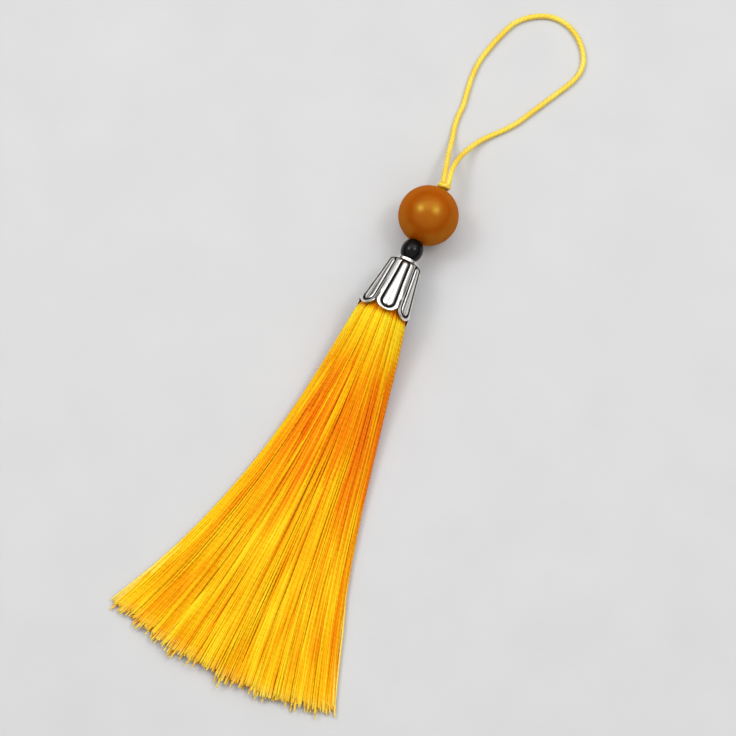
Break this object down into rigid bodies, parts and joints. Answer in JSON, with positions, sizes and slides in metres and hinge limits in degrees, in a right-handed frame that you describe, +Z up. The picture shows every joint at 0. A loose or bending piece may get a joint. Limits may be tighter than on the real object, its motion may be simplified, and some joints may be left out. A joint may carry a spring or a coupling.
{
  "type": "silk tassel",
  "caption": "Silk tassel laid flat: a fanned golden fringe under a fluted silver bell cap, with a black spacer bead, an amber round bead, a knot and a hanging cord loop.",
  "frame": {"origin": "on the surface the tassel lies on, below the middle of its box without the loop", "axes": "+Z up from the surface, +Y along the tassel from the fringe's ends towards the hanging loop, +X to the right seen from above with the loop at the top"},
  "size_m": [0.0473, 0.1523, 0.012],
  "materials": {
    "silk": "golden yellow silk floss, satin sheen along each strand",
    "cord": "fine twisted silk cord, satin",
    "silver": "polished silver with blackened grooves",
    "amber": "milky amber-orange resin, polished",
    "black": "polished black"
  },
  "bodies": {
    "root": {"silk_skirt": "silk", "cap": "silver", "spacer_bead": "black", "amber_bead": "amber", "cord_knot": "cord", "stem_cord": "cord", "loop_cord": "cord"}
  },
  "joints": []
}
